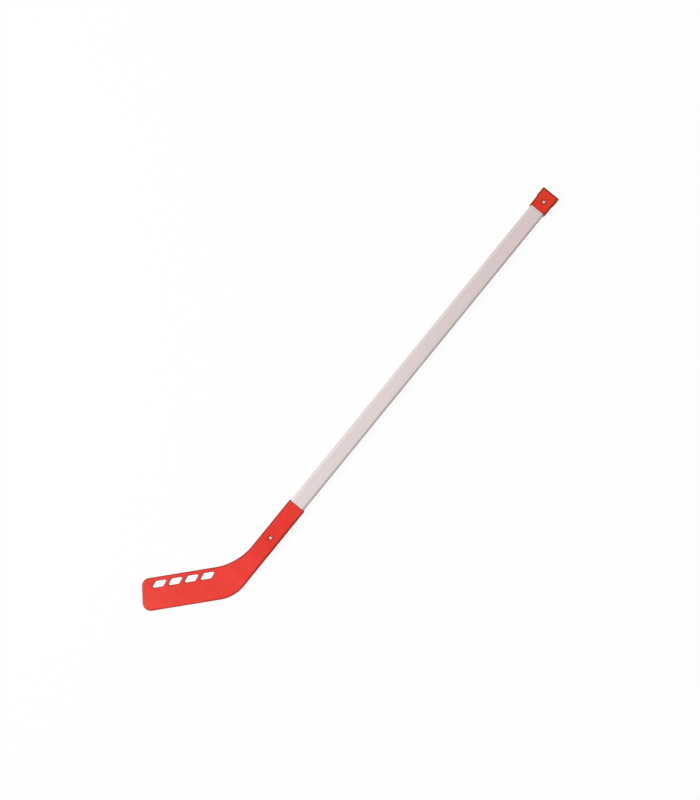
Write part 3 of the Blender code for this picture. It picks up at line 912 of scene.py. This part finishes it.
def make_turned(name, profile, broken_above, material, slot, kind, seed):
    """Four turned pieces, at the blade's and the cap's rivet places, on the front and the back.

    A profile that starts away from the axis is closed to a ring. The sweep lays a profile's Y down
    along -Z, so the heights go in with their sign turned.
    """
    mesh = bpy.data.meshes.new(name)
    edges = [(i, i + 1) for i in range(len(profile) - 1)]
    if profile[0][0] > 0:
        edges.append((len(profile) - 1, 0))
    mesh.from_pydata([(radius, -height, 0) for radius, height in profile], edges, [])
    pieces = add_object(name, mesh)
    grow(
        pieces,
        lathe_and_seat(),
        {
            "Lathe Radius": RIVET_HEAD_RADIUS,
            "Turned Steps": TURNED_STEPS,
            "Merge Distance": TOLERANCE,
            "Break Height": broken_above,
            "Break Roughness": MANDREL_BREAK_ROUGHNESS,
            "Break Grain": 1 / MANDREL_BREAK_GRAIN,
            "First Seat": (BLADE_RIVET_X, 0, MIDDLE_Z),
            "Seat Spacing": (CAP_RIVET_X - BLADE_RIVET_X, 0, 0),
            "Seat Height": STICK_THICKNESS / 2 - RECESS_DEPTH,
            "Seed": seed,
            "Material": material,
        },
    )
    shade(pieces)
    nodes = [f"{place}_{kind}_{side}" for place in RIVET_PLACES for side in RIVET_SIDES]
    settle(pieces, slot, *nodes)


# Finishes


def hex_colour(code):
    """An sRGB hex colour as the linear one that a shader takes."""
    parts = [int(code[i:i + 2], 16) / 255 for i in (0, 2, 4)]
    linear = [part / 12.92 if part <= 0.04045 else ((part + 0.055) / 1.055) ** 2.4 for part in parts]
    return (*linear, 1)


def new_finish(name):
    material = bpy.data.materials.new(name)
    material.use_nodes = True
    material.node_tree.nodes.clear()
    return material


def off_axis(tree, place):
    """How far a place lies from the Z axis."""
    flat = add_node(tree, "ShaderNodeVectorMath", {0: place, 1: (1, 1, 0)}, operation="MULTIPLY")
    length = add_node(tree, "ShaderNodeVectorMath", {0: flat.outputs[0]}, operation="LENGTH")
    return length.outputs["Value"]


def moulded_polyethylene(name, colour, deeper, toe_sheen, edge_shade, recess_shade, rivet_x):
    """Polyethylene moulded in an eroded steel mould: satin, finely grained, faintly clouded.

    Its rounded edges are painted a deeper colour, a painted shade. It is painted paler in cloudy
    patches the further it is from the rivet, so most at the toe, a painted sheen, and the rivet's
    recess is painted darker, a painted shade.
    """
    material = new_finish(name)
    tree = material.node_tree
    coordinates = add_node(tree, "ShaderNodeTexCoord").outputs
    place = coordinates["Object"]

    # Clouds
    clouds = add_node(
        tree,
        "ShaderNodeTexNoise",
        {"Vector": place, "Scale": 1 / POLYETHYLENE_CLOUD, "Detail": 5.0, "Roughness": 0.6},
    )
    tone = add_node(
        tree,
        "ShaderNodeMix",
        {0: clouds.outputs[0], 6: hex_colour(deeper), 7: hex_colour(colour)},
        data_type="RGBA",
    )

    # Rounded edges: painted shade, a deeper colour where the normal turns away from Z
    facing = add_node(tree, "ShaderNodeSeparateXYZ", {0: coordinates["Normal"]}).outputs["Z"]
    upright = add_node(tree, "ShaderNodeMath", {0: facing}, operation="ABSOLUTE").outputs[0]
    turned = add_node(
        tree,
        "ShaderNodeMapRange",
        {"Value": upright, "From Min": EDGE_SHADE_START, "From Max": EDGE_SHADE_FULL},
        interpolation_type="SMOOTHSTEP",
    )
    edge_shaded = add_node(
        tree,
        "ShaderNodeMix",
        {0: turned.outputs[0], 6: tone.outputs[2], 7: hex_colour(edge_shade)},
        data_type="RGBA",
    )

    # Painted sheen: paler in cloudy patches, the more so the further from the rivet, so most at the
    # toe
    from_rivet = add_node(
        tree, "ShaderNodeVectorMath", {0: place, 1: (rivet_x, 0, MIDDLE_Z)}, operation="SUBTRACT"
    )
    radius = off_axis(tree, from_rivet.outputs[0])
    sheen_share = add_node(
        tree,
        "ShaderNodeMapRange",
        {"Value": radius, "From Min": SHEEN_FROM, "From Max": SHEEN_TO},
    )
    patchy = add_node(
        tree, "ShaderNodeMath", {0: sheen_share.outputs[0], 1: clouds.outputs[0]}, operation="MULTIPLY"
    )
    paler = add_node(
        tree,
        "ShaderNodeMix",
        {0: patchy.outputs[0], 6: edge_shaded.outputs[2], 7: hex_colour(toe_sheen)},
        data_type="RGBA",
    )

    # Painted shade in the rivet's recess, darker below the face
    inside = add_node(
        tree, "ShaderNodeMath", {0: radius, 1: RECESS_RADIUS + TOLERANCE}, operation="LESS_THAN"
    )
    height = add_node(tree, "ShaderNodeSeparateXYZ", {0: from_rivet.outputs[0]}).outputs["Z"]
    level = add_node(tree, "ShaderNodeMath", {0: height}, operation="ABSOLUTE").outputs[0]
    sunk = add_node(
        tree,
        "ShaderNodeMapRange",
        {
            "Value": level,
            "From Min": STICK_THICKNESS / 2 - RECESS_SHADE_FROM,
            "From Max": STICK_THICKNESS / 2 - RECESS_SHADE_TO,
        },
    )
    recess_shade_share = add_node(
        tree, "ShaderNodeMath", {0: inside.outputs[0], 1: sunk.outputs[0]}, operation="MULTIPLY"
    )
    recess_shaded = add_node(
        tree,
        "ShaderNodeMix",
        {0: recess_shade_share.outputs[0], 6: paler.outputs[2], 7: hex_colour(recess_shade)},
        data_type="RGBA",
    )

    # Grain and gloss
    grain = add_node(
        tree,
        "ShaderNodeTexNoise",
        {"Vector": place, "Scale": 1 / POLYETHYLENE_GRAIN, "Detail": 2.0},
    )
    relief = add_node(
        tree,
        "ShaderNodeBump",
        {"Strength": 0.6, "Distance": POLYETHYLENE_RELIEF, "Height": grain.outputs[0]},
    )
    smooth, rough = POLYETHYLENE_ROUGHNESS
    gloss = add_node(
        tree, "ShaderNodeMapRange", {"Value": clouds.outputs[0], "To Min": smooth, "To Max": rough}
    )
    shader = add_node(
        tree,
        "ShaderNodeBsdfPrincipled",
        {
            "Base Color": recess_shaded.outputs[2],
            "Roughness": gloss.outputs[0],
            "IOR": 1.51,
            "Specular IOR Level": 0.2,  # the grain scatters most of the shine
            "Normal": relief.outputs[0],
        },
    )
    add_node(tree, "ShaderNodeOutputMaterial", {"Surface": shader.outputs[0]})
    return material


def extruded_abs(at_hosel, at_cap, streak):
    """White ABS tube: satin, with the fine lines and faint streaks that the die draws along it.

    It is a little pinker towards the cap.
    """
    material = new_finish("extruded_white_abs")
    tree = material.node_tree
    place = add_node(tree, "ShaderNodeTexCoord").outputs["Object"]
    along = add_node(tree, "ShaderNodeSeparateXYZ", {0: place}).outputs["X"]
    far = add_node(
        tree, "ShaderNodeMapRange", {"Value": along, "From Min": MOUTH_X, "From Max": CAP_LOW.x}
    )
    tone = add_node(
        tree,
        "ShaderNodeMix",
        {0: far.outputs[0], 6: hex_colour(at_hosel), 7: hex_colour(at_cap)},
        data_type="RGBA",
    )
    per_streak = (1 / ABS_STREAK_LENGTH, 1 / ABS_STREAK_WIDTH, 1 / ABS_STREAK_WIDTH)
    drawn = add_node(tree, "ShaderNodeMapping", {"Vector": place, "Scale": per_streak})
    lines = add_node(
        tree,
        "ShaderNodeTexNoise",
        {"Vector": drawn.outputs[0], "Scale": 1.0, "Detail": 4.0, "Roughness": 0.7},
    )
    thin, full = ABS_STREAKED
    streaks = add_node(
        tree, "ShaderNodeMapRange", {"Value": lines.outputs[0], "From Min": thin, "From Max": full}
    )
    streaked = add_node(
        tree,
        "ShaderNodeMix",
        {0: streaks.outputs[0], 6: tone.outputs[2], 7: hex_colour(streak)},
        data_type="RGBA",
    )
    relief = add_node(
        tree,
        "ShaderNodeBump",
        {"Strength": 0.5, "Distance": ABS_RELIEF, "Height": lines.outputs[0]},
    )
    smooth, rough = ABS_ROUGHNESS
    gloss = add_node(
        tree, "ShaderNodeMapRange", {"Value": lines.outputs[0], "To Min": smooth, "To Max": rough}
    )
    shader = add_node(
        tree,
        "ShaderNodeBsdfPrincipled",
        {
            "Base Color": streaked.outputs[2],
            "Roughness": gloss.outputs[0],
            "IOR": 1.53,
            "Specular IOR Level": 0.2,  # the drawn lines scatter most of the shine
            "Normal": relief.outputs[0],
        },
    )
    add_node(tree, "ShaderNodeOutputMaterial", {"Surface": shader.outputs[0]})
    return material


def pressed_metal(name, colour, rim_shade, smooth, rough):
    """A small pressed metal piece, with a soft gloss and fine rings round its own axis.

    A rivet's head is painted paler in the middle, a painted highlight, and darker towards its rim, a
    painted shade.
    """
    material = new_finish(name)
    tree = material.node_tree
    place = add_node(tree, "ShaderNodeAttribute", attribute_name="lathe_place").outputs["Vector"]
    radius = off_axis(tree, place)
    rings = add_node(
        tree,
        "ShaderNodeTexNoise",
        {"W": radius, "Scale": 1 / METAL_RING, "Detail": 2.0},
        noise_dimensions="1D",
    )
    speckle = add_node(
        tree, "ShaderNodeTexNoise", {"Vector": place, "Scale": 1 / METAL_SPECKLE, "Detail": 3.0}
    )
    outer = add_node(
        tree,
        "ShaderNodeMapRange",
        {"Value": radius, "From Min": PAINTED_HIGHLIGHT_TO, "From Max": RIM_SHADE_FROM},
        interpolation_type="SMOOTHSTEP",
    )
    tone = add_node(
        tree,
        "ShaderNodeMix",
        {0: outer.outputs[0], 6: hex_colour(colour), 7: hex_colour(rim_shade)},
        data_type="RGBA",
    )
    relief = add_node(
        tree,
        "ShaderNodeBump",
        {"Strength": 0.5, "Distance": METAL_RELIEF, "Height": rings.outputs[0]},
    )
    gloss = add_node(
        tree, "ShaderNodeMapRange", {"Value": speckle.outputs[0], "To Min": smooth, "To Max": rough}
    )
    shader = add_node(
        tree,
        "ShaderNodeBsdfPrincipled",
        {
            "Base Color": tone.outputs[2],
            "Metallic": 1.0,
            "Roughness": gloss.outputs[0],
            "Normal": relief.outputs[0],
        },
    )
    add_node(tree, "ShaderNodeOutputMaterial", {"Surface": shader.outputs[0]})
    return material


# Studio


def background_rays(tree):
    """1 for the rays that show the background: the camera's, and those in gloss and glass."""
    path = add_node(tree, "ShaderNodeLightPath").outputs
    rays = path["Is Camera Ray"]
    for kind in ("Is Glossy Ray", "Is Transmission Ray"):
        rays = add_node(
            tree, "ShaderNodeMath", {0: rays, 1: path[kind]}, operation="MAXIMUM"
        ).outputs[0]
    return rays


def make_floor():
    """A plain pale floor, which fades into the white background away from the stick."""
    half = FLOOR_SIZE / 2
    mesh = bpy.data.meshes.new("floor")
    corners = [(x * half, y * half, -FLOOR_DROP) for x, y in ((-1, -1), (1, -1), (1, 1), (-1, 1))]
    mesh.from_pydata(corners, [], [(0, 1, 2, 3)])
    floor = add_object("floor", mesh)
    material = new_finish("pale_floor")
    tree = material.node_tree
    place = add_node(tree, "ShaderNodeTexCoord").outputs["Object"]
    distance = add_node(
        tree, "ShaderNodeVectorMath", {0: place, 1: FLOOR_MIDDLE}, operation="DISTANCE"
    ).outputs["Value"]
    glow = add_node(
        tree,
        "ShaderNodeMapRange",
        {
            "Value": distance,
            "From Min": FLOOR_PLAIN_FROM,
            "From Max": FLOOR_PLAIN_TO,
            "To Min": FLOOR_GLOW,
            "To Max": 1.0,
        },
        interpolation_type="SMOOTHSTEP",
    )
    lit = add_node(tree, "ShaderNodeBsdfDiffuse", {"Color": hex_colour("FDFDFD")})
    white = add_node(tree, "ShaderNodeEmission", {"Color": hex_colour("FFFFFF")})
    shown = add_node(
        tree, "ShaderNodeMixShader", {0: glow.outputs[0], 1: lit.outputs[0], 2: white.outputs[0]}
    )
    dim = add_node(tree, "ShaderNodeBsdfDiffuse", {"Color": hex_colour("9A9A9A")})
    shader = add_node(
        tree,
        "ShaderNodeMixShader",
        {0: background_rays(tree), 1: dim.outputs[0], 2: shown.outputs[0]},
    )
    add_node(tree, "ShaderNodeOutputMaterial", {"Surface": shader.outputs[0]})
    material.cycles.emission_sampling = "NONE"
    mesh.materials.append(material)


def make_world():
    """White to the eye, and a weaker even fill on the stick."""
    world = bpy.data.worlds.new("studio")
    bpy.context.scene.world = world
    world.use_nodes = True
    tree = world.node_tree
    tree.nodes.clear()
    strength = add_node(
        tree,
        "ShaderNodeMapRange",
        {"Value": background_rays(tree), "To Min": FILL_LEVEL, "To Max": 1.0},
    )
    sky = add_node(
        tree, "ShaderNodeBackground", {"Color": hex_colour("FFFFFF"), "Strength": strength.outputs[0]}
    )
    add_node(tree, "ShaderNodeOutputWorld", {"Surface": sky.outputs[0]})
    world.cycles.sampling_method = "NONE"


def make_lamps():
    """Two large soft lamps on the toe's side: the key over the blade, and a low one for the rims."""
    for name, level, place, diameter in LAMPS:
        place = Vector(place)
        lamp = bpy.data.lights.new(name, "AREA")
        lamp.shape = "DISK"
        lamp.size = diameter
        lamp.energy = level * math.pi ** 2 * place.length_squared / (place.z / place.length)
        obj = add_object(name, lamp)
        obj.location = place
        obj.rotation_euler = place.to_track_quat("Z", "Y").to_euler()
        obj.visible_camera = False


def make_camera():
    """Straight down over the photograph's middle, turned so that the shaft has its slope there."""
    # Pixels are counted from the middle of the top left one
    right = (IMAGE_WIDTH - 1) / 2 - MOUTH_PIXEL[0]
    down = (IMAGE_HEIGHT - 1) / 2 - MOUTH_PIXEL[1]
    along = right * math.cos(SHAFT_ANGLE) - down * math.sin(SHAFT_ANGLE)
    aside = -right * math.sin(SHAFT_ANGLE) - down * math.cos(SHAFT_ANGLE)
    scale = MM_PER_PIXEL * MM
    face = MIDDLE_Z + BLADE_THICKNESS / 2
    camera = bpy.data.cameras.new("camera")
    camera.sensor_width = SENSOR_WIDTH
    camera.lens = SENSOR_WIDTH * CAMERA_DISTANCE / (IMAGE_HEIGHT * scale)
    obj = add_object("camera", camera)
    obj.location = (MOUTH_X + along * scale, aside * scale, face + CAMERA_DISTANCE)
    obj.rotation_euler = (0, 0, -SHAFT_ANGLE)
    bpy.context.scene.camera = obj


def main():
    bpy.context.scene.view_settings.view_transform = "Standard"
    make_camera()
    make_world()
    make_lamps()
    make_floor()
    red = moulded_polyethylene(
        "moulded_red_polyethylene",
        colour="F44137",
        deeper="D61911",
        # the next three colours: a painted sheen towards the toe, painted shade on the rounded edges,
        # painted shade in the rivet's recess
        toe_sheen="E84D40",
        edge_shade="A8261E",
        recess_shade="D03C30",
        rivet_x=BLADE_RIVET_X,
    )
    make_blade(red)
    orange_red = moulded_polyethylene(
        "moulded_orange_red_polyethylene",
        colour="F8472D",
        deeper="DA1F07",
        # the next three colours: a painted sheen towards the toe, painted shade on the rounded edges,
        # painted shade in the rivet's recess
        toe_sheen="F24026",
        edge_shade="982012",
        recess_shade="CE402A",
        rivet_x=CAP_RIVET_X,
    )
    make_cap(orange_red)
    make_shaft(extruded_abs(at_hosel="E5DBDA", at_cap="EAD5D4", streak="DFD1D0"))
    # the head's paler middle and darker rim are a painted highlight and a painted shade
    aluminium = pressed_metal(
        "pressed_aluminium", colour="B0A49E", rim_shade="7E7069", smooth=0.45, rough=0.55
    )
    make_turned(
        "rivet_bodies",
        rivet_body_profile(),
        broken_above=STICK_THICKNESS,  # higher than any of it, so none of it is broken
        material=aluminium,
        slot="rivet_metal",
        kind="rivet",
        seed=3,
    )
    # its darker rim colour is a painted shade
    steel = pressed_metal(
        "zinc_plated_steel", colour="BCBAB4", rim_shade="A4A29C", smooth=0.4, rough=0.5
    )
    make_turned(
        "mandrels",
        mandrel_profile(),
        broken_above=MANDREL_TOP - TOLERANCE,
        material=steel,
        slot="mandrel_metal",
        kind="mandrel",
        seed=5,
    )


main()
